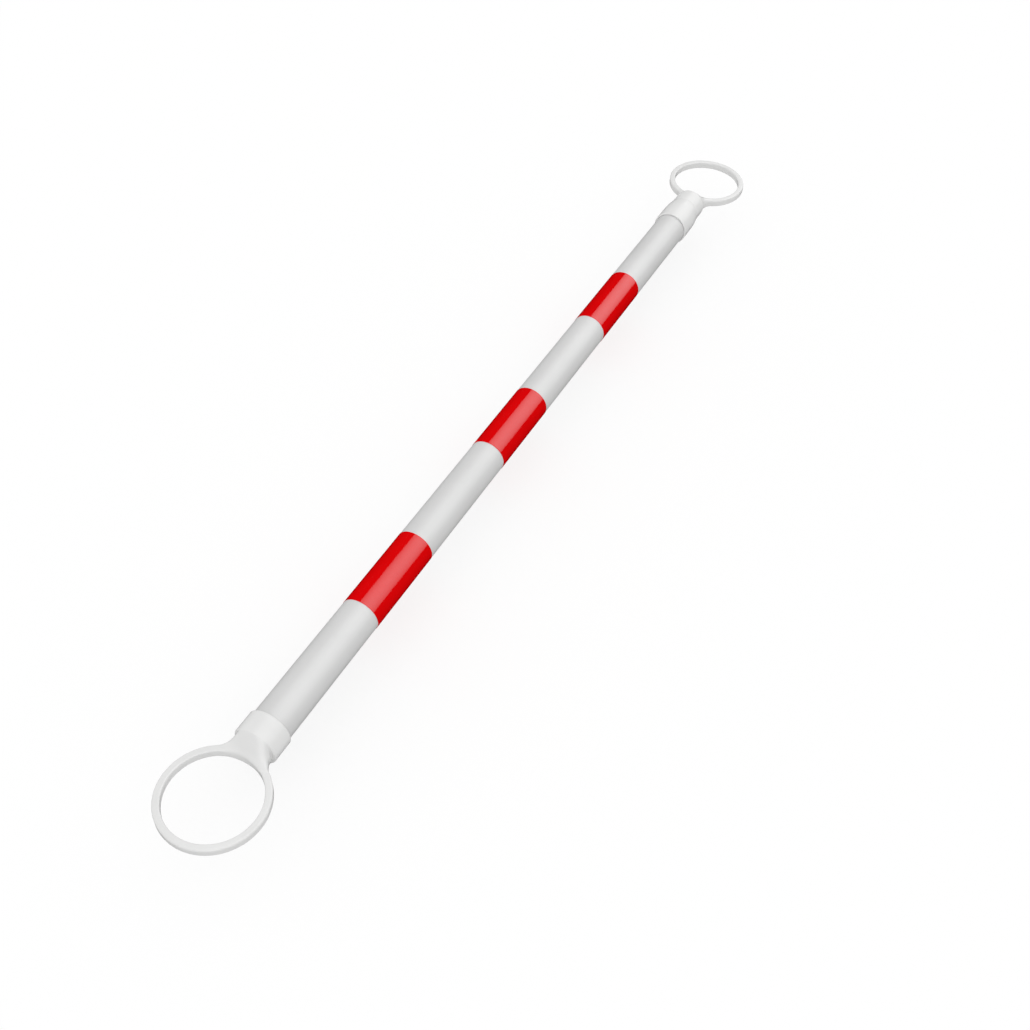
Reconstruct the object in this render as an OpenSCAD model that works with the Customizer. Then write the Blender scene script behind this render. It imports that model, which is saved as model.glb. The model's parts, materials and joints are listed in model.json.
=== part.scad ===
// Retractable cone bar: a striped bar whose two end rings drop over the tips of two road cones.
// A thin tube with a ring cap slides out of a wider tube with a ring cap of its own.
// The bar lies along Y, the rings lie flat in the XY plane, and the origin is the middle of the closed bar.
// All sizes are in millimetres.

/* [Rings] */
// Diameter of the hole that drops over a cone's tip
ring_bore_d = 87; // [70:0.5:120]
// Width of the ring's section, from the hole to the outside
ring_width = 7.3; // [5:0.1:12]
// Thickness of the ring's section, along the hole
ring_thickness = 9; // [6:0.1:14]
// Rounding of the ring's four edges
ring_edge_r = 1.8; // [0.5:0.1:2.4]

/* [Ring caps] */
// Length of the collar that holds a tube
collar_length = 25; // [18:0.5:50]
// Wall of the near collar, round the outer tube
near_collar_wall = 2.2; // [1.5:0.1:4]
// Wall of the far collar, round the inner tube
far_collar_wall = 2.7; // [1.5:0.1:4]
// Rounding of the collars' and the bush's rims
rim_r = 1.4; // [0.4:0.1:1.4]
// Bevel that leads a tube into its socket in a collar or the bush
socket_bevel = 0.6; // [0.2:0.1:1]
// Thickness of the wall that closes a collar at the ring's side
cup_floor = 3; // [2:0.5:6]
// Gap between the ring's outside and the collar's front, which the neck bridges
neck_reach = 6.7; // [3:0.1:15]
// How much narrower than the collar the neck is, on each side
neck_inset = 4.7; // [3:0.1:8]
// How much wider the neck grows on each side, down to the ring
neck_flare = 6.5; // [2:0.1:8]
// Radius of the concave sweep from the neck's sides into the ring's outside
web_r = 12; // [6:0.5:20]
// Rounding of the neck's four long edges at the collar
neck_edge_r = 2; // [0.5:0.1:4]
// How far past the hole's edge the neck's slopes point
neck_foot_past = 3.5; // [2:0.1:6]
// Thickness of the neck at that foot, inside the ring's own thickness
neck_foot_t = 3; // [2:0.1:5]

/* [Tubes] */
// Outside diameter of the outer tube
outer_tube_d = 40; // [36:0.5:46]
// Wall of the outer tube
outer_tube_wall = 1.5; // [1.2:0.1:1.6]
// Outside diameter of the inner tube
inner_tube_d = 34; // [30:0.5:34]
// Wall of the inner tube
inner_tube_wall = 1.6; // [1:0.1:3]
// Clear length behind the stop plug when the bar is closed
plug_end_gap = 5; // [2:0.5:20]

/* [Guide bush] */
// Wall of the bush round the outer tube
bush_wall = 2.2; // [1.5:0.1:4]
// Length of the bush's sleeve over the outer tube
bush_cover = 25; // [18:1:50]
// Length of the tapered nose in front of the outer tube's end
nose_length = 19.7; // [8:0.1:40]
// How far the nose's tip stands proud of the far collar
nose_step = 0.6; // [0.2:0.1:1.5]
// Gap between the nose and the far collar when the bar is closed
closed_gap = 0.3; // [0.3:0.1:3]

/* [Stop plug and slide ring] */
// Length of the plug's head, which runs in the outer tube
plug_head = 40; // [25:1:80]
// Length of the plug's spigot inside the inner tube
plug_spigot = 22; // [10:1:60]
// Wall of the hollow plug under its groove
plug_wall = 3; // [1.5:0.1:5]
// Bevel on the plug's rear edge
plug_bevel = 1.5; // [0.5:0.1:2]
// Width of the split slide ring
slide_ring_width = 10; // [6:0.5:16]
// Thickness of the slide ring
slide_ring_t = 2.2; // [1.5:0.1:3]
// Width of the cut that lets the slide ring spring over the plug
slide_ring_split = 4; // [2:0.5:10]

/* [Reflective bands] */
// Length of each red band
band_length = 100; // [40:1:200]
// Length of bare tube between two bands
band_gap = 150; // [40:1:250]
// Length of bare tube between a collar or bush and the nearest band
end_margin = 145; // [20:0.5:300]
// Thickness of the reflective film
film_t = 0.25; // [0.1:0.05:0.5]

/* [Fits] */
// Radial clearance of a tube glued in a moulding, or of film on a tube
glue_gap = 0.05; // [0.02:0.01:0.2]
// Radial clearance between pieces that slide or turn past each other
run_gap = 0.3; // [0.2:0.05:0.35]
// Radial clearance of the slide ring in the outer tube, where it rubs
rub_gap = 0.1; // [0.05:0.05:0.15]

/* [Hidden] */
$fn = 96;
// Overlap that lets one cut run clear of the solid it cuts
over = 1;
// Depth that one fused form reaches into the next
bury = 0.3;
// Thickness of the slices that a loft is stretched between
slice = 1;
// Number of bands on each tube
bands = 3;
moulding_white = "#ededeb";
tube_white = "#dfdfde";
film_red = "#dd0a10";
plug_grey = "#8b8e90";
ring_natural = "#d8cfb8";

// Distances from a ring's centre, along the bar
ring_bore_r = ring_bore_d / 2;
ring_outer_r = ring_bore_r + ring_width;
ring_mid_r = ring_bore_r + ring_width / 2;
neck_foot_y = ring_bore_r - neck_foot_past;
collar_front = ring_outer_r + neck_reach;
collar_back = collar_front + collar_length;
seat_floor = collar_front + cup_floor;

// Radii about the bar's axis
outer_r = outer_tube_d / 2;
outer_bore_r = outer_r - outer_tube_wall;
inner_r = inner_tube_d / 2;
inner_bore_r = inner_r - inner_tube_wall;
inner_film_r = inner_r + glue_gap + film_t;
near_collar_r = outer_r + near_collar_wall;
far_collar_r = inner_r + far_collar_wall;
bush_r = outer_r + bush_wall;
nose_bore_r = inner_film_r + run_gap;
nose_tip_r = far_collar_r + nose_step;
plug_r = outer_bore_r - run_gap;
slide_ring_r = outer_bore_r - rub_gap;
slide_ring_bore_r = slide_ring_r - slide_ring_t;
groove_r = slide_ring_bore_r - run_gap;
groove_width = slide_ring_width + 2 * run_gap;

// Places along the bar, closed, from its near ring to its far ring
striped_length = bands * band_length + (bands - 1) * band_gap;
bare_length = striped_length + 2 * end_margin;
ring_centres = 2 * collar_back + bare_length + bush_cover + nose_length + closed_gap;
near_ring_y = -ring_centres / 2;
far_ring_y = ring_centres / 2;
outer_start_y = near_ring_y + seat_floor;
bare_start_y = near_ring_y + collar_back;
bush_back_y = bare_start_y + bare_length;
outer_end_y = bush_back_y + bush_cover;
plug_back_y = outer_start_y + plug_end_gap;
inner_start_y = plug_back_y + plug_head;
inner_end_y = far_ring_y - seat_floor;
// The inner tube's stripes end as far from the far collar as the outer tube's do from the bush
inner_bare_start_y = far_ring_y - collar_back - bare_length;
groove_mid_y = plug_back_y + plug_head / 2;

// Stands children drawn up the Z axis along the bar, from the place y
module along_bar(y) {
    translate([0, y, 0])
        rotate([-90, 0, 0])
            children();
}

// Plain tube along the bar, from y to y + length
module tube(y, length, outside_r, bore_r) {
    along_bar(y)
        difference() {
            cylinder(r = outside_r, h = length);
            translate([0, 0, -over])
                cylinder(r = bore_r, h = length + 2 * over);
        }
}

// Flat section of a turned solid, from the axis out to r, with both outer corners rounded
module rounded_disc_section(r, length, corner_r) {
    square([r - corner_r, length]);
    translate([0, corner_r])
        square([r, length - 2 * corner_r]);
    for (y = [corner_r, length - corner_r])
        translate([r - corner_r, y])
            circle(r = corner_r);
}

// Section of the ring: a rectangle with four round corners, centred on the ring's plane
module ring_section() {
    half_flat = ring_thickness / 2 - ring_edge_r;
    translate([ring_bore_r + ring_edge_r, -ring_thickness / 2])
        square([ring_width - 2 * ring_edge_r, ring_thickness]);
    translate([ring_bore_r, -half_flat])
        square([ring_width, 2 * half_flat]);
    for (x = [ring_bore_r + ring_edge_r, ring_outer_r - ring_edge_r])
        for (y = [-half_flat, half_flat])
            translate([x, y])
                circle(r = ring_edge_r);
}

// Face of the neck on the collar's front: the collar's circle with its two sides cut off and its corners rounded
module neck_face(face_r, half_width) {
    offset(r = neck_edge_r, $fn = 16)
        offset(delta = -neck_edge_r)
            intersection() {
                circle(r = face_r, $fn = 32);
                square([2 * half_width, 2 * face_r], center = true);
            }
}

// The neck is stretched from its face, just under the collar's skin, down to a flat, wider foot in the ring,
// and the hole is cut clear just outside the ring's own bore
module neck(collar_r) {
    half_width = collar_r - neck_inset;
    foot_width = 2 * (half_width + neck_flare);
    difference() {
        hull() {
            along_bar(collar_front + bury)
                linear_extrude(slice)
                    neck_face(collar_r - bury / 2, half_width);
            translate([0, neck_foot_y + slice / 2, 0])
                cube([foot_width, slice, neck_foot_t], center = true);
        }
        cylinder(r = ring_bore_r + 2 * bury, h = 4 * collar_r, center = true);
    }
    neck_web(half_width);
}

function flip(point) = [-point[0], point[1]];

// Plate in the ring's plane with a concave arc in each corner, where the neck's sides meet the ring's outside.
// Each arc's centre lies web_r away from the neck's side and from the ring, less the depth it is buried
module neck_web(half_width) {
    flare_angle = atan2(neck_flare, collar_front - neck_foot_y);
    side_normal = [cos(flare_angle), sin(flare_angle)];
    side_line = [-sin(flare_angle), cos(flare_angle)];
    from_side = side_normal * [half_width, collar_front] + web_r - bury;
    from_ring = ring_outer_r + web_r - bury;
    centre = side_normal * from_side + side_line * sqrt(pow(from_ring, 2) - pow(from_side, 2));
    on_side = centre - side_normal * web_r;
    on_ring = centre * (1 - web_r / from_ring);
    in_ring = on_ring * ring_mid_r / norm(on_ring);
    linear_extrude(ring_thickness - ring_edge_r, center = true)
        difference() {
            polygon([
                [0, ring_mid_r], in_ring, on_ring, on_side,
                flip(on_side), flip(on_ring), flip(in_ring)
            ]);
            for (middle = [centre, flip(centre)])
                translate(middle)
                    circle(r = web_r);
        }
}

// Cutter for the bevel at the mouth of a socket of radius seat_r, with the mouth at z = 0 and the socket above it
module socket_mouth(seat_r) {
    translate([0, 0, -over])
        cylinder(r1 = seat_r + socket_bevel + over, r2 = seat_r, h = socket_bevel + over);
}

// Ring cap with its ring at the origin and its collar towards +Y, for a tube of radius tube_r
module ring_cap(tube_r, collar_r) {
    difference() {
        union() {
            rotate_extrude()
                ring_section();
            neck(collar_r);
            along_bar(collar_front)
                rotate_extrude()
                    rounded_disc_section(collar_r, collar_length, rim_r);
        }
        along_bar(seat_floor)
            cylinder(r = tube_r + glue_gap, h = collar_length);
        translate([0, collar_back, 0])
            rotate([90, 0, 0])
                socket_mouth(tube_r + glue_gap);
    }
}

// Red film wrapped round a tube of radius tube_r; the first band starts at the place y
module band(tube_r, y, index) {
    color(film_red)
        tube(
            y + (index - 1) * (band_length + band_gap), band_length,
            tube_r + glue_gap + film_t, tube_r + glue_gap
        );
}

module outer_tube() {
    color(tube_white)
        tube(outer_start_y, outer_end_y - outer_start_y, outer_r, outer_bore_r);
}

module near_ring_cap() {
    color(moulding_white)
        translate([0, near_ring_y, 0])
            ring_cap(outer_r, near_collar_r);
}

// Sleeve over the outer tube's end, with a nose that curves in towards the inner tube
module guide_bush() {
    nose_drop = bush_r - nose_tip_r;
    nose_arc_r = (pow(nose_length, 2) + pow(nose_drop, 2)) / (2 * nose_drop);
    full_length = bush_cover + nose_length;
    color(moulding_white)
        along_bar(bush_back_y)
            difference() {
                rotate_extrude() {
                    rounded_disc_section(bush_r, bush_cover, rim_r);
                    translate([0, bush_cover / 2])
                        square([bush_r, bush_cover / 2]);
                    intersection() {
                        translate([0, bush_cover])
                            square([bush_r, nose_length]);
                        translate([bush_r - nose_arc_r, bush_cover])
                            circle(r = nose_arc_r, $fn = 360);
                    }
                }
                translate([0, 0, -over])
                    cylinder(r = outer_r + glue_gap, h = bush_cover + over);
                socket_mouth(outer_r + glue_gap);
                cylinder(r = nose_bore_r, h = full_length + over);
            }
}

module red_band_1() { band(outer_r, bare_start_y + end_margin, 1); }
module red_band_2() { band(outer_r, bare_start_y + end_margin, 2); }
module red_band_3() { band(outer_r, bare_start_y + end_margin, 3); }

module inner_tube() {
    color(tube_white)
        tube(inner_start_y, inner_end_y - inner_start_y, inner_r, inner_bore_r);
}

module far_ring_cap() {
    color(moulding_white)
        translate([0, far_ring_y, 0])
            rotate([0, 0, 180])
                ring_cap(inner_r, far_collar_r);
}

// Hollow plug: a head that runs in the outer tube, grooved for the slide ring, and a spigot in the inner tube
module stop_plug() {
    spigot_r = inner_bore_r - glue_gap;
    full_length = plug_head + plug_spigot;
    color(plug_grey)
        along_bar(plug_back_y)
            difference() {
                union() {
                    translate([0, 0, plug_bevel])
                        cylinder(r = plug_r, h = plug_head - plug_bevel);
                    cylinder(r1 = plug_r - plug_bevel, r2 = plug_r, h = plug_bevel);
                    cylinder(r = spigot_r, h = full_length);
                }
                translate([0, 0, plug_head / 2 - groove_width / 2])
                    difference() {
                        cylinder(r = plug_r + over, h = groove_width);
                        cylinder(r = groove_r, h = groove_width);
                    }
                translate([0, 0, -over])
                    cylinder(r = spigot_r - plug_wall, h = full_length + 2 * over);
            }
}

// Split ring in the plug's groove
module slide_ring() {
    color(ring_natural)
        difference() {
            tube(groove_mid_y - slide_ring_width / 2, slide_ring_width, slide_ring_r, slide_ring_bore_r);
            translate([-slide_ring_split / 2, groove_mid_y - slide_ring_width, 0])
                cube([slide_ring_split, 2 * slide_ring_width, slide_ring_r + over]);
        }
}

module inner_band_1() { band(inner_r, inner_bare_start_y + end_margin, 1); }
module inner_band_2() { band(inner_r, inner_bare_start_y + end_margin, 2); }
module inner_band_3() { band(inner_r, inner_bare_start_y + end_margin, 3); }

outer_tube();
near_ring_cap();
guide_bush();
red_band_1();
red_band_2();
red_band_3();
inner_tube();
far_ring_cap();
stop_plug();
slide_ring();
inner_band_1();
inner_band_2();
inner_band_3();
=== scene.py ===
# %% [markdown]
# # A retractable cone bar
# The bar joins two road cones: a ring at each end drops over a cone's tip, and a thin tube slides out of
# a wide one. The CAD frame already holds every piece at its real size. This lesson gives the pieces their
# finish, and makes anew the ones whose soft moulded blends or cut film edges the CAD solids only hint at.

# %% Load the CAD frame
import json
import math

import bpy
import numpy as np
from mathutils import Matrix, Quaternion, Vector


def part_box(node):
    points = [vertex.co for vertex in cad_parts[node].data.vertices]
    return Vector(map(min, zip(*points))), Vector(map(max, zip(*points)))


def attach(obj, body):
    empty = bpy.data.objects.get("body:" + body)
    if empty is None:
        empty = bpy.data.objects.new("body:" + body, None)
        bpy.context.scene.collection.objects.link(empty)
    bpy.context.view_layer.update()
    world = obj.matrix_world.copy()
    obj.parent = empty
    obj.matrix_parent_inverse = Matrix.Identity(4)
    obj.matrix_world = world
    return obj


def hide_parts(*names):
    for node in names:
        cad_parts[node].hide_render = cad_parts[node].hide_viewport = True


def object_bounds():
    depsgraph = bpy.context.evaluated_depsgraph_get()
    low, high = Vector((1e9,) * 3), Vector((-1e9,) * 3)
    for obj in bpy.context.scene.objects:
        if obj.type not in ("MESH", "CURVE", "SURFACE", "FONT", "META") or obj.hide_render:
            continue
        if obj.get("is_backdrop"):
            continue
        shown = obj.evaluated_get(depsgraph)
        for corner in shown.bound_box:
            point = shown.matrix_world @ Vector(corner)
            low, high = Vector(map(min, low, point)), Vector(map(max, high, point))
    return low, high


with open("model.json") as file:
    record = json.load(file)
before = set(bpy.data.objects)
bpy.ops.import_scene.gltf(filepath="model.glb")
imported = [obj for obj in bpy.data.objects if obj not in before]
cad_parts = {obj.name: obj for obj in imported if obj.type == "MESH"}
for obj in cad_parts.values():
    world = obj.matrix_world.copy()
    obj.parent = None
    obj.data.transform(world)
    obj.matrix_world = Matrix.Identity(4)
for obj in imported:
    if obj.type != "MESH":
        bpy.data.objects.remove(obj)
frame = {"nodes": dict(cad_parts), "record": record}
cad_low, cad_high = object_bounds()
nodes = frame["nodes"]
mm = 0.001
print("pieces in the frame:", ", ".join(sorted(nodes)))
print("size of the bar, mm:", [round(side / mm, 1) for side in cad_high - cad_low])

# %% [markdown]
# ## Camera
# The photograph looks down on the bar from beyond its near ring. A camera can be placed by eye, but a
# small error in its distance changes how fast the bar tapers, so the place, aim, lens and roll here come
# from matching the ends of the red bands and the outlines of both rings.

# %% Camera
camera_place = Vector((0.4407, -0.9076, 0.9496))
camera_aim = Vector((0.0667, -0.13295, 0.0))
camera_lens = 43.08
camera_sensor = 36.0
camera_roll = math.radians(3.55)

camera_data = bpy.data.cameras.new("photo_camera")
camera_data.lens = camera_lens
camera_data.sensor_width = camera_sensor
camera = bpy.data.objects.new("photo_camera", camera_data)
bpy.context.scene.collection.objects.link(camera)
sight = (camera_aim - camera_place).to_track_quat("-Z", "Y")
camera.location = camera_place
camera.rotation_mode = "QUATERNION"
camera.rotation_quaternion = sight @ Quaternion((0, 0, 1), camera_roll)
bpy.context.scene.camera = camera
bpy.context.scene.view_settings.view_transform = "Standard"
print("camera to aim, m:", round((camera_aim - camera_place).length, 3))

# %% [markdown]
# ## Small helpers for node trees
# Shader trees read best when each node is one line that names its settings and what it is fed by. A
# helper that takes a dictionary of inputs does both jobs: a socket in it becomes a link, and a plain
# value is set.

# %% Node helpers
def add_node(tree, kind, inputs=None, **settings):
    made = tree.nodes.new(kind)
    for name, value in settings.items():
        setattr(made, name, value)
    for name, value in (inputs or {}).items():
        if isinstance(value, bpy.types.NodeSocket):
            tree.links.new(value, made.inputs[name])
        else:
            made.inputs[name].default_value = value
    return made


def calc(tree, operation, first, second=0.0, third=0.0):
    inputs = {0: first, 1: second, 2: third}
    return add_node(tree, "ShaderNodeMath", inputs, operation=operation).outputs[0]


def new_material(name):
    made = bpy.data.materials.new(name)
    made.use_nodes = True
    made.node_tree.nodes.clear()
    return made


# %% [markdown]
# ## Floor and world
# The photograph has a pure white ground and very even light: the sides of the rings are as light as their
# tops. A plain white world over a pale floor gives that, because the floor throws most of the light back
# up. Seen by the camera, a pale floor would carry a heavier shadow than the photograph shows. So where
# the camera, a glossy surface or a clear one looks at it, the floor is a greyer paint lifted to white by
# a glow, which keeps the shadow faint. The far ring can be turned on edge, so the floor lies as deep as
# the ring reaches then, and no pose sinks into it.

# %% Floor and world
floor_half = 30.0
floor_drop = 0.2 * mm
floor_pale = 0.66
floor_shown = 0.27
world_strength = 1.0


def seen_directly(tree):
    path = add_node(tree, "ShaderNodeLightPath")
    shown = calc(tree, "MAXIMUM", path.outputs["Is Camera Ray"], path.outputs["Is Glossy Ray"])
    return calc(tree, "MAXIMUM", shown, path.outputs["Is Transmission Ray"])


def floor_material():
    made = new_material("white_floor")
    tree = made.node_tree
    paint = add_node(tree, "ShaderNodeBsdfDiffuse", {"Color": (floor_pale, floor_pale, floor_pale, 1)})
    greyer = add_node(tree, "ShaderNodeBsdfDiffuse", {"Color": (floor_shown, floor_shown, floor_shown, 1)})
    glow = add_node(tree, "ShaderNodeEmission", {"Strength": 1 - floor_shown})
    lifted = add_node(tree, "ShaderNodeAddShader", {0: greyer.outputs[0], 1: glow.outputs[0]})
    inputs = {0: seen_directly(tree), 1: paint.outputs[0], 2: lifted.outputs[0]}
    chosen = add_node(tree, "ShaderNodeMixShader", inputs)
    add_node(tree, "ShaderNodeOutputMaterial", {"Surface": chosen.outputs[0]})
    return made


def stage_mesh(name, corners, faces, material):
    mesh = bpy.data.meshes.new(name)
    mesh.from_pydata(corners, [], faces)
    mesh.materials.append(material)
    made = bpy.data.objects.new(name, mesh)
    bpy.context.scene.collection.objects.link(made)
    made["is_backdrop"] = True
    return made


floor_z = -cad_high.x - floor_drop
floor_corners = [(x * floor_half, y * floor_half, floor_z) for x, y in ((-1, -1), (1, -1), (1, 1), (-1, 1))]
stage_mesh("floor", floor_corners, [(0, 1, 2, 3)], floor_material())

world = bpy.data.worlds.new("white_world")
world.use_nodes = True
world.node_tree.nodes["Background"].inputs["Color"].default_value = (1, 1, 1, 1)
world.node_tree.nodes["Background"].inputs["Strength"].default_value = world_strength
bpy.context.scene.world = world
print("floor height, mm:", round(floor_z / mm, 1))

# %% [markdown]
# ## Light tent
# The red film is glossy, and in the photograph it shows one broad bright window down its middle and stays
# deep red at its sides. Photographers get that with a tent of black cloth that has one bright window in
# its roof. This tent is an arch along the bar on a flat ground cloth. Only glossy surfaces see it, so it
# lights nothing else and throws no shadow. The window's glow is strongest along its middle, as a soft
# box's is.

# %% Light tent
tent_r = 1.0
tent_half_length = 3.0
tent_steps = 48
window_from = math.radians(-22)
window_to = math.radians(75)
window_glow = 3.1
window_edge_share = 0.4
cloth_lift = 0.1 * mm


def tent_material():
    made = new_material("tent_cloth")
    tree = made.node_tree
    place = add_node(tree, "ShaderNodeTexCoord").outputs["Object"]
    apart = add_node(tree, "ShaderNodeSeparateXYZ", {0: place})
    turn = calc(tree, "ARCTAN2", apart.outputs["X"], apart.outputs["Z"])
    middle = (window_from + window_to) / 2
    half = (window_to - window_from) / 2
    off_middle = calc(tree, "ABSOLUTE", calc(tree, "DIVIDE", calc(tree, "SUBTRACT", turn, middle), half))
    open_here = calc(tree, "LESS_THAN", off_middle, 1.0)
    fall = calc(tree, "MULTIPLY", calc(tree, "POWER", off_middle, 2.0), window_edge_share - 1)
    shine = calc(tree, "MULTIPLY", calc(tree, "ADD", fall, 1.0), window_glow)
    glow = add_node(tree, "ShaderNodeEmission", {"Strength": calc(tree, "MULTIPLY", shine, open_here)})
    add_node(tree, "ShaderNodeOutputMaterial", {"Surface": glow.outputs[0]})
    return made


tent_ground = floor_z + cloth_lift
tent_points = []
for y in (-tent_half_length, tent_half_length):
    for step in range(tent_steps + 1):
        angle = math.pi * step / tent_steps
        tent_points.append((tent_r * math.cos(angle), y, tent_ground + tent_r * math.sin(angle)))
row = tent_steps + 1
tent_faces = [(i, i + 1, row + i + 1, row + i) for i in range(tent_steps)]
tent_faces.append((0, tent_steps, row + tent_steps, row))
tent = stage_mesh("light_tent", tent_points, tent_faces, tent_material())
tent.visible_camera = False
tent.visible_diffuse = False
tent.visible_transmission = False
tent.visible_shadow = False
window_span = [round(math.degrees(angle)) for angle in (window_from, window_to)]
print("tent window, degrees from straight up:", window_span)

# %% [markdown]
# ## Surface effects that the finishes share
# Plastic is never quite even. Four small effects cover this bar: a broad change of tone, fine grain from
# the mould or the die, lines along the bar from extruding or rubbing, and a few scuffs from handling.
# Each could be drawn again in every material. As node groups they are built once, and a material only
# gives them sizes, in metres.

# %% Group helpers
def new_group(name, sizes, result):
    tree = bpy.data.node_groups.new(name, "ShaderNodeTree")
    for label, value in sizes.items():
        socket = tree.interface.new_socket(label, in_out="INPUT", socket_type="NodeSocketFloat")
        socket.default_value = value
    tree.interface.new_socket(result, in_out="OUTPUT", socket_type="NodeSocketFloat")
    return tree, add_node(tree, "NodeGroupInput").outputs


def close_group(tree, result, value):
    add_node(tree, "NodeGroupOutput", {result: value})
    print("group", tree.name, "puts out", result)
    return tree


def ramp(tree, value, start, end):
    inputs = {"Value": value, "From Min": start, "From Max": end}
    return add_node(tree, "ShaderNodeMapRange", inputs, interpolation_type="SMOOTHSTEP").outputs[0]


def noise_at(tree, place, across, along, detail):
    cell = add_node(tree, "ShaderNodeCombineXYZ", {"X": across, "Y": along, "Z": across}).outputs[0]
    spot = add_node(tree, "ShaderNodeVectorMath", {0: place, 1: cell}, operation="DIVIDE").outputs[0]
    return add_node(tree, "ShaderNodeTexNoise", {"Vector": spot, "Scale": 1.0, "Detail": detail}).outputs[0]


def own_place(tree):
    return add_node(tree, "ShaderNodeTexCoord").outputs["Object"]


# %% Tone, grain and lines
soft_detail = 2.0
crisp_detail = 3.0


def broad_tone_group():
    tree, size = new_group("broad_tone", {"Size": 60 * mm}, "Tone")
    tone = noise_at(tree, own_place(tree), size["Size"], size["Size"], soft_detail)
    return close_group(tree, "Tone", tone)


def fine_grain_group():
    tree, size = new_group("fine_grain", {"Size": 0.3 * mm}, "Height")
    grain = noise_at(tree, own_place(tree), size["Size"], size["Size"], crisp_detail)
    return close_group(tree, "Height", grain)


def long_lines_group():
    tree, size = new_group("long_lines", {"Spacing": 0.8 * mm, "Length": 200 * mm}, "Lines")
    lines = noise_at(tree, own_place(tree), size["Spacing"], size["Length"], crisp_detail)
    return close_group(tree, "Lines", lines)


broad_tone = broad_tone_group()
fine_grain = fine_grain_group()
long_lines = long_lines_group()

# %% Scuffs
scuff_slant = math.radians(25)
scratch_start = 0.62
scratch_full = 0.7
patch_spread = 3.0
patch_detail = 1.0
patch_rarest = 0.9
patch_reach = 0.6
patch_fade = 0.1


def scuffs_group():
    tree, size = new_group("scuffs", {"Width": 0.5 * mm, "Length": 12 * mm, "Cover": 0.3}, "Mask")
    slanted = {"Vector": own_place(tree), "Angle": scuff_slant}
    place = add_node(tree, "ShaderNodeVectorRotate", slanted, rotation_type="Z_AXIS").outputs[0]
    streak = noise_at(tree, place, size["Width"], size["Length"], soft_detail)
    scratch = ramp(tree, streak, scratch_start, scratch_full)
    spread = calc(tree, "MULTIPLY", size["Length"], patch_spread)
    patch = noise_at(tree, own_place(tree), spread, spread, patch_detail)
    rare = calc(tree, "SUBTRACT", patch_rarest, calc(tree, "MULTIPLY", size["Cover"], patch_reach))
    here = ramp(tree, patch, rare, calc(tree, "ADD", rare, patch_fade))
    return close_group(tree, "Mask", calc(tree, "MULTIPLY", scratch, here))


scuffs = scuffs_group()


def effect(tree, group, **sizes):
    return add_node(tree, "ShaderNodeGroup", sizes, node_tree=group).outputs[0]


# %% [markdown]
# ## How a finish is put together
# Every finish here is one Principled shader. Its colour and its roughness each swing a little between two
# values, and a Bump node turns a height into shading. What drives them is a sum of effects, each with its
# weight beside it. Values that are the same all over, such as the specular level, are set on the shader
# itself.

# %% Finish helpers
def between(tree, share, first, second):
    inputs = {0: share, 6: first, 7: second}
    return add_node(tree, "ShaderNodeMix", inputs, data_type="RGBA").outputs[2]


def swing(tree, share, first, second):
    return calc(tree, "MULTIPLY_ADD", share, second - first, first)


def weigh(tree, *pairs):
    total = 0.0
    for value, weight in pairs:
        total = calc(tree, "MULTIPLY_ADD", value, weight, total)
    return total


def coat(made, colour, roughness, height, depth, **constants):
    tree = made.node_tree
    bump = add_node(tree, "ShaderNodeBump", {"Height": height, "Strength": 1.0, "Distance": depth})
    inputs = {"Base Color": colour, "Roughness": roughness, "Normal": bump.outputs[0]}
    shader = add_node(tree, "ShaderNodeBsdfPrincipled", inputs)
    for name, value in constants.items():
        shader.inputs[name.replace("_", " ")].default_value = value
    add_node(tree, "ShaderNodeOutputMaterial", {"Surface": shader.outputs[0]})
    print("finish", made.name, "has", len(tree.nodes), "nodes")
    return made


# %% [markdown]
# ## Tube finish
# Both tubes are extruded plastic with a dull shine. The die leaves very faint lines along the tube. The
# inner tube also slides through the bush, which rubs stronger lines and more scuffs into it. One function
# makes both finishes, because only the strength of the lines and the cover of the scuffs differ.

# %% Tube finishes
tube_light = (0.72, 0.72, 0.717, 1)
tube_dark = (0.615, 0.615, 0.612, 1)
tube_rough = (0.36, 0.44)
tube_line_depth = 0.05 * mm


def tube_finish(name, line_share, scuff_cover):
    made = new_material(name)
    tree = made.node_tree
    tone = effect(tree, broad_tone, Size=70 * mm)
    lines = effect(tree, long_lines, Spacing=0.9 * mm, Length=260 * mm)
    grain = effect(tree, fine_grain, Size=0.25 * mm)
    marks = effect(tree, scuffs, Width=0.5 * mm, Length=14 * mm, Cover=scuff_cover)
    share = weigh(tree, (tone, 0.9 - line_share), (lines, line_share), (marks, 0.3))
    rough = weigh(tree, (swing(tree, lines, *tube_rough), 1.0), (marks, 0.12))
    height = weigh(tree, (lines, 0.5 + line_share), (grain, 0.15), (marks, -0.3))
    colour = between(tree, share, tube_light, tube_dark)
    return coat(made, colour, rough, height, tube_line_depth, Specular_IOR_Level=0.4)


outer_tube_finish = tube_finish("extruded_white", line_share=0.25, scuff_cover=0.2)
inner_tube_finish = tube_finish("rubbed_white", line_share=0.6, scuff_cover=0.5)

# %% [markdown]
# ## Moulding finish
# The ring caps and the bush are injection moulded, whiter and glossier than the tubes. Light sinks into
# such plastic and softens its shadows. Subsurface scattering would do that too, but in thin hollow walls
# it leaks light into the dark inside, so a plain pale colour under even light serves better. The two
# halves of the mould meet at the height of the bar's axis and leave a hair-fine raised line there.

# %% Moulding finish
moulding_light = (0.845, 0.845, 0.84, 1)
moulding_dark = (0.775, 0.775, 0.77, 1)
moulding_rough = (0.2, 0.26)
moulding_depth = 0.05 * mm
parting_half = 0.18 * mm


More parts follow.
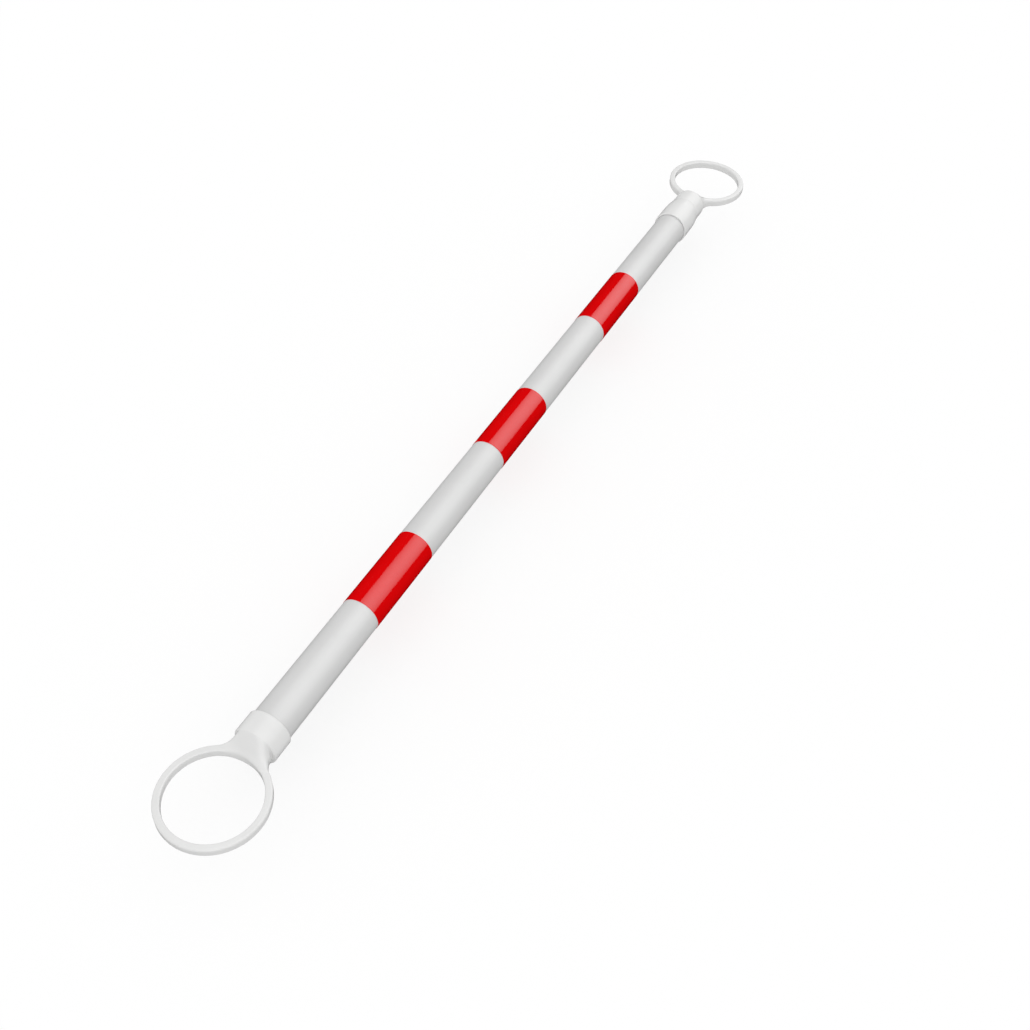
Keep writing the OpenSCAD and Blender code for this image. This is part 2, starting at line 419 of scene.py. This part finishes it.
def moulding_finish(name):
    made = new_material(name)
    tree = made.node_tree
    tone = effect(tree, broad_tone, Size=25 * mm)
    grain = effect(tree, fine_grain, Size=0.35 * mm)
    marks = effect(tree, scuffs, Width=0.4 * mm, Length=7 * mm, Cover=0.2)
    rise = add_node(tree, "ShaderNodeSeparateXYZ", {0: own_place(tree)}).outputs["Z"]
    off_parting = calc(tree, "ABSOLUTE", rise)
    parting = ramp(tree, calc(tree, "SUBTRACT", parting_half, off_parting), 0.0, parting_half)
    share = weigh(tree, (tone, 0.8), (marks, 0.5), (parting, 0.3))
    rough = weigh(tree, (swing(tree, grain, *moulding_rough), 1.0), (marks, 0.2))
    height = weigh(tree, (grain, 0.25), (parting, 1.0), (marks, -0.2))
    colour = between(tree, share, moulding_light, moulding_dark)
    constants = {"Specular_IOR_Level": 0.25, "Diffuse_Roughness": 0.4}
    return coat(made, colour, rough, height, moulding_depth, **constants)


ring_cap_finish = moulding_finish("moulded_white")

# %% [markdown]
# ## Reflective film
# The bands are red film with a clear glossy top over tiny glass beads. A smooth clear top gives the sharp
# white stripe, so the roughness is very low. The beads are cells less than half a millimetre wide: each
# is a slightly different red and lifts the surface by a hair, which shows only close up.

# %% Film finish
film_light = (0.8, 0.003, 0.004, 1)
film_dark = (0.65, 0.001, 0.002, 1)
film_rough = (0.025, 0.04)
bead_size = 0.4 * mm
bead_depth = 0.0015 * mm


def film_finish(name):
    made = new_material(name)
    tree = made.node_tree
    beads = add_node(tree, "ShaderNodeTexVoronoi", {"Vector": own_place(tree), "Scale": 1 / bead_size})
    bead_tone = add_node(tree, "ShaderNodeSeparateColor", {0: beads.outputs["Color"]}).outputs[0]
    tone = effect(tree, broad_tone, Size=40 * mm)
    marks = effect(tree, scuffs, Width=0.3 * mm, Length=9 * mm, Cover=0.15)
    share = weigh(tree, (tone, 0.5), (bead_tone, 0.4))
    rough = weigh(tree, (swing(tree, tone, *film_rough), 1.0), (marks, 0.12))
    height = calc(tree, "SUBTRACT", 1.0, beads.outputs["Distance"])
    colour = between(tree, share, film_light, film_dark)
    return coat(made, colour, rough, height, bead_depth, Specular_IOR_Level=0.5)


red_film_finish = film_finish("red_film")

# %% [markdown]
# ## Hidden working pieces
# The stop plug and the slide ring show only when the bar is taken apart. The plug is grey nylon straight
# from the mould. The slide ring is natural acetal, a cream plastic, turned from rod, so its lines are
# rings round the bar: the same line effect with its two sizes exchanged.

# %% Plug and slide ring finishes
plug_light = (0.29, 0.3, 0.31, 1)
plug_dark = (0.22, 0.23, 0.24, 1)
plug_rough = (0.35, 0.55)
plug_depth = 0.02 * mm
acetal_light = (0.71, 0.65, 0.51, 1)
acetal_dark = (0.63, 0.57, 0.43, 1)
acetal_rough = (0.25, 0.4)
acetal_depth = 0.01 * mm


def plug_finish(name):
    made = new_material(name)
    tree = made.node_tree
    tone = effect(tree, broad_tone, Size=18 * mm)
    grain = effect(tree, fine_grain, Size=0.3 * mm)
    rub = effect(tree, long_lines, Spacing=0.6 * mm, Length=40 * mm)
    share = weigh(tree, (tone, 0.5), (rub, 0.5))
    rough = swing(tree, rub, *plug_rough)
    colour = between(tree, share, plug_light, plug_dark)
    return coat(made, colour, rough, grain, plug_depth, Specular_IOR_Level=0.5)


def slide_ring_finish(name):
    made = new_material(name)
    tree = made.node_tree
    tone = effect(tree, broad_tone, Size=12 * mm)
    turned = effect(tree, long_lines, Spacing=30 * mm, Length=0.25 * mm)
    share = weigh(tree, (tone, 0.6), (turned, 0.4))
    rough = swing(tree, turned, *acetal_rough)
    colour = between(tree, share, acetal_light, acetal_dark)
    return coat(made, colour, rough, turned, acetal_depth, Specular_IOR_Level=0.5)


# %% [markdown]
# ## Dressing the pieces that the CAD already shapes
# The tubes, the bush, the plug and the slide ring are plain round forms, and their CAD solids are right as
# they are. They keep their meshes, and only the finish in their material slots changes.

# %% Dress the CAD pieces
dressed = {
    "outer_tube": outer_tube_finish,
    "inner_tube": inner_tube_finish,
    "guide_bush": ring_cap_finish,
    "stop_plug": plug_finish("moulded_grey"),
    "slide_ring": slide_ring_finish("turned_acetal"),
}
for node, finish in dressed.items():
    mesh = nodes[node].data
    for index in range(len(mesh.materials)):
        mesh.materials[index] = finish
    print(node, "is dressed in", finish.name)

# %% [markdown]
# ## Ring caps: the shape as a field
# A ring cap is one moulding: a flat ring, a collar round the tube and a neck that sweeps from one to the
# other. Such melted joins are hard to reach with box modelling. A distance field makes them easy: each
# form is a formula that is negative inside, and joining or cutting two formulas with a soft minimum or
# maximum rounds the line where they meet. All sizes here are millimetres, with the ring's centre at the
# origin and the collar towards +Y.

# %% Cap sizes
mounts = {mount["name"]: mount for mount in frame["record"]["mounts"]}
ring_hole = mounts["near_ring"]["dims"]
ring_bore_r = ring_hole["r_mm"]
ring_outer_r = cad_high.x / mm
ring_width = ring_outer_r - ring_bore_r
ring_mid_r = ring_bore_r + ring_width / 2
ring_edge = 1.8  # rounding of the ring's edges
ring_thickness = ring_hole["length_mm"] + 2 * ring_edge
collar_length = 23.6
rim_edge = 1.4  # rounding of the collar's edges
socket_depth = 22.0  # from the collar's back to where the tube ends
seat_gap = 0.05  # play round the tube
socket_bevel = 0.25  # widens the socket's mouth
lip_blend = 0.4  # softens the socket's edges
neck_share = 0.77  # the neck's width at the collar, as a share of the collar's
neck_power = 2.75  # squareness of the ovals
neck_flare = 0.43  # growth of the neck's half width towards the ring, per millimetre
neck_foot_past = 2.5  # how far inside the ring's hole the ovals start
neck_foot_half = 1.5  # half height of the first oval
neck_overlap = 1.5  # how far the neck runs into the collar
crest_blend = 1.6  # softens the neck's top where it meets the collar's radius
notch_blend = 0.4  # softens the neck's two ends
web_blend = 5.5  # fillet between the neck and the ring
join_blend = 1.6  # fillet between the neck and the collar
print("ring, mm: hole", 2 * ring_bore_r, "width", round(ring_width, 2), "thickness", round(ring_thickness, 2))


# %% Soft joins
def soft_min(a, b, blend):
    share = np.clip(0.5 + 0.5 * (b - a) / blend, 0, 1)
    return b + (a - b) * share - blend * share * (1 - share)


def soft_max(a, b, blend):
    return -soft_min(-a, -b, blend)


def soft_block(across, along, half_across, half_along, corner):
    out_x = np.abs(across) - half_across + corner
    out_y = np.abs(along) - half_along + corner
    outside = np.hypot(np.maximum(out_x, 0), np.maximum(out_y, 0))
    return outside + np.minimum(np.maximum(out_x, out_y), 0) - corner


print("two faces that meet square, softened by 1 mm, lose", soft_max(0.0, 0.0, 1.0), "mm at the corner")


# %% [markdown]
# ## Ring caps: neck, collar and socket
# The neck is a loft of ovals. At the ring's hole the oval is wide and flat, and it grows taller and
# narrower on the way to the collar, where it is as tall as the collar but not as wide. So the two meet
# flush along the top, and at each side the collar's front edge stands out as a step, which shows as a
# small dark notch. A power above 2 makes the ovals a little squarer than ellipses.

# %% Cap field
def neck_field(x, y, z, collar_r, collar_front):
    foot_y = ring_bore_r - neck_foot_past
    climb = np.maximum((y - foot_y) / (collar_front - foot_y), 0)
    half_width = neck_share * collar_r + neck_flare * np.maximum(collar_front - y, 0)
    half_height = neck_foot_half + climb * (collar_r - neck_foot_half)
    oval = ((x / half_width) ** neck_power + (z / half_height) ** neck_power) ** (1 / neck_power)
    neck = (oval - 1) * np.minimum(half_width, half_height)
    neck = soft_max(neck, np.hypot(x, z) - collar_r, crest_blend)
    neck = soft_max(neck, y - collar_front - neck_overlap, notch_blend)
    return soft_max(neck, foot_y - y, notch_blend)


def cap_field(place, tube_r, collar_r, collar_front):
    x, y, z = np.abs(place[..., 0]), place[..., 1], np.abs(place[..., 2])
    from_hole = np.hypot(x, y)
    from_axis = np.hypot(x, z)
    ring = soft_block(from_hole - ring_mid_r, z, ring_width / 2, ring_thickness / 2, ring_edge)
    collar_half = collar_length / 2
    collar = soft_block(from_axis, y - collar_front - collar_half, collar_r, collar_half, rim_edge)
    neck = neck_field(x, y, z, collar_r, collar_front)
    swept = soft_max(soft_min(ring, neck, web_blend), ring_bore_r - from_hole, ring_edge)
    past_collar = np.where(y > collar_front - crest_blend, from_axis - collar_r, -ring_width)
    whole = np.maximum(soft_min(swept, collar, join_blend), past_collar)
    collar_back = collar_front + collar_length
    mouth = np.maximum(y - collar_back + socket_bevel, 0)
    seat = np.maximum(from_axis - tube_r - seat_gap - mouth, collar_back - socket_depth - y)
    return soft_max(whole, -seat, lip_blend)


print("where they meet, the neck is", round(100 * neck_share), "percent as wide as the collar")


# %% [markdown]
# ## Ring caps: a skin over the field
# A field is not yet a mesh. Surface nets turn it into one: space is cut into small cells, each cell that
# the surface passes through gets one point, and neighbouring points are joined into four-sided faces. The
# points are then evened out and pulled back onto the surface a few times, which gives a clean, closed
# skin.

# %% Skin
skin_step = 0.6
cell_corners = 8
print("width of a skin cell, mm:", skin_step)


def pull_to_surface(field, points, pulls=4, tiny=0.02, least_steep=0.05):
    for pull in range(pulls):
        slope = np.stack(
            [(field(points + side) - field(points - side)) / (2 * tiny) for side in np.eye(3) * tiny], 1
        )
        steep = np.maximum((slope**2).sum(1), least_steep)
        points = points - slope * (field(points) / steep)[:, None]
    return points


def net_faces(inside, number):
    quads = []
    for axis in range(3):
        order = (axis, (axis + 1) % 3, (axis + 2) % 3)
        here = inside.transpose(order).astype(int)
        cell = number.transpose(order)
        change = here[:-1, 1:-1, 1:-1] - here[1:, 1:-1, 1:-1]
        i, j, k = np.nonzero(change)
        four = np.stack([cell[i, j, k], cell[i, j + 1, k], cell[i, j + 1, k + 1], cell[i, j, k + 1]], axis=1)
        inward = change[i, j, k] < 0
        four[inward] = four[inward][:, ::-1]
        quads.append(four)
    return np.concatenate(quads)


def skin(field, low, high, step, rounds=3):
    axes = [np.arange(a, b + step, step) for a, b in zip(low, high)]
    inside = field(np.stack(np.meshgrid(*axes, indexing="ij"), axis=-1)) < 0
    cells = [size - 1 for size in inside.shape]
    count = np.zeros(cells, int)
    for i, j, k in np.ndindex(2, 2, 2):
        count += inside[i:cells[0] + i, j:cells[1] + j, k:cells[2] + k]
    mixed = (count > 0) & (count < cell_corners)
    number = np.full(mixed.shape, -1)
    number[mixed] = np.arange(mixed.sum())
    quads = net_faces(inside, number)
    sides = np.concatenate([quads[:, [corner, (corner + 1) % 4]] for corner in range(4)])
    start, end = np.concatenate([sides, sides[:, ::-1]]).T
    points = pull_to_surface(field, np.argwhere(mixed) * step + np.array(low) + step / 2)
    for turn in range(rounds):
        total = np.stack([np.bincount(start, points[end, axis], len(points)) for axis in range(3)], 1)
        points = pull_to_surface(field, total / np.bincount(start)[:, None])
    return points, quads


# %% [markdown]
# ## Ring caps: the two mouldings
# Both caps come from the same field. The near one holds the outer tube, and the far one, turned round to
# face it, holds the thinner inner tube, so only the radii differ. Their places and radii are read from
# the CAD frame, and each skin then stands in for its CAD node.

# %% Build the ring caps
def add_piece(name, points, faces, finish, body, node):
    mesh = bpy.data.meshes.new(name)
    mesh.from_pydata(points.tolist(), [], faces)
    mesh.polygons.foreach_set("use_smooth", [True] * len(mesh.polygons))
    mesh.materials.append(finish)
    made = bpy.data.objects.new(name, mesh)
    bpy.context.scene.collection.objects.link(made)
    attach(made, body)
    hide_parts(node)
    print(name, "has", len(mesh.polygons), "faces and stands for", node)
    return made


def ring_cap(name, node, mount, tube_node, facing, body):
    cap_low, cap_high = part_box(node)
    ring_y = mounts[mount]["pos_m"][1] / mm
    collar_r = cap_high.z / mm
    tube_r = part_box(tube_node)[1].x / mm
    collar_back = max(abs(cap_low.y / mm - ring_y), abs(cap_high.y / mm - ring_y))
    collar_front = collar_back - collar_length

    def field(place):
        return cap_field(place, tube_r, collar_r, collar_front)

    margin = 2 * skin_step
    reach = (ring_outer_r + margin, collar_back + margin, collar_r + margin)
    points, quads = skin(field, (-reach[0], -reach[0], -reach[2]), reach, skin_step)
    points[:, :2] *= facing
    points[:, 1] += ring_y
    add_piece(name, points * mm, quads.tolist(), ring_cap_finish, body, node)


ring_cap("near_cap", "near_ring_cap", "near_ring", "outer_tube", facing=1, body="outer")
ring_cap("far_cap", "far_ring_cap", "far_ring", "inner_tube", facing=-1, body="inner")

# %% [markdown]
# ## Film bands
# Each band is a strip of film a quarter of a millimetre thick, wrapped once round its tube. Its ends meet
# on the underside with a hair of tube between them, and its cut edges have a small bevel that catches the
# light. A tube primitive has neither, so the strip's section is swept round the tube from one end of the
# strip to the other.

# %% Film bands
film_gap = 0.05 * mm
film_bevel = 0.07 * mm
seam_gap = 0.5 * mm
film_steps = 128
sharp_edge = math.radians(30)


def film_band(name, node, tube_node, body):
    low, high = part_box(node)
    inner_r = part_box(tube_node)[1].x + film_gap
    outer_r = high.x
    section = [
        (inner_r, low.y), (outer_r - film_bevel, low.y), (outer_r, low.y + film_bevel),
        (outer_r, high.y - film_bevel), (outer_r - film_bevel, high.y), (inner_r, high.y),
    ]
    count = len(section)
    seam = seam_gap / outer_r / 2
    turns = np.linspace(seam, 2 * math.pi - seam, film_steps + 1)
    points = np.array([(r * math.sin(turn), y, -r * math.cos(turn)) for turn in turns for r, y in section])
    faces = [list(range(count))]
    for step in range(film_steps):
        for corner in range(count):
            here = step * count + corner
            beside = step * count + (corner + 1) % count
            faces.append([here, here + count, beside + count, beside])
    faces.append([film_steps * count + corner for corner in reversed(range(count))])
    made = add_piece(name, points, faces, red_film_finish, body, node)
    made.data.set_sharp_from_angle(angle=sharp_edge)


for index in (1, 2, 3):
    film_band(f"outer_film_{index}", f"red_band_{index}", "outer_tube", "outer")
    film_band(f"inner_film_{index}", f"inner_band_{index}", "inner_tube", "inner")

# %% [markdown]
# ## Sizes and finish
# The dressed bar must not outgrow its CAD box, so both boxes are kept and compared before the scene is
# closed.

# %% Sizes and finish
new_low, new_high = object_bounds()
growth = (*(cad_low - new_low), *(new_high - cad_high))
print("growth past the CAD box, mm:", [round(side / mm, 2) for side in growth])
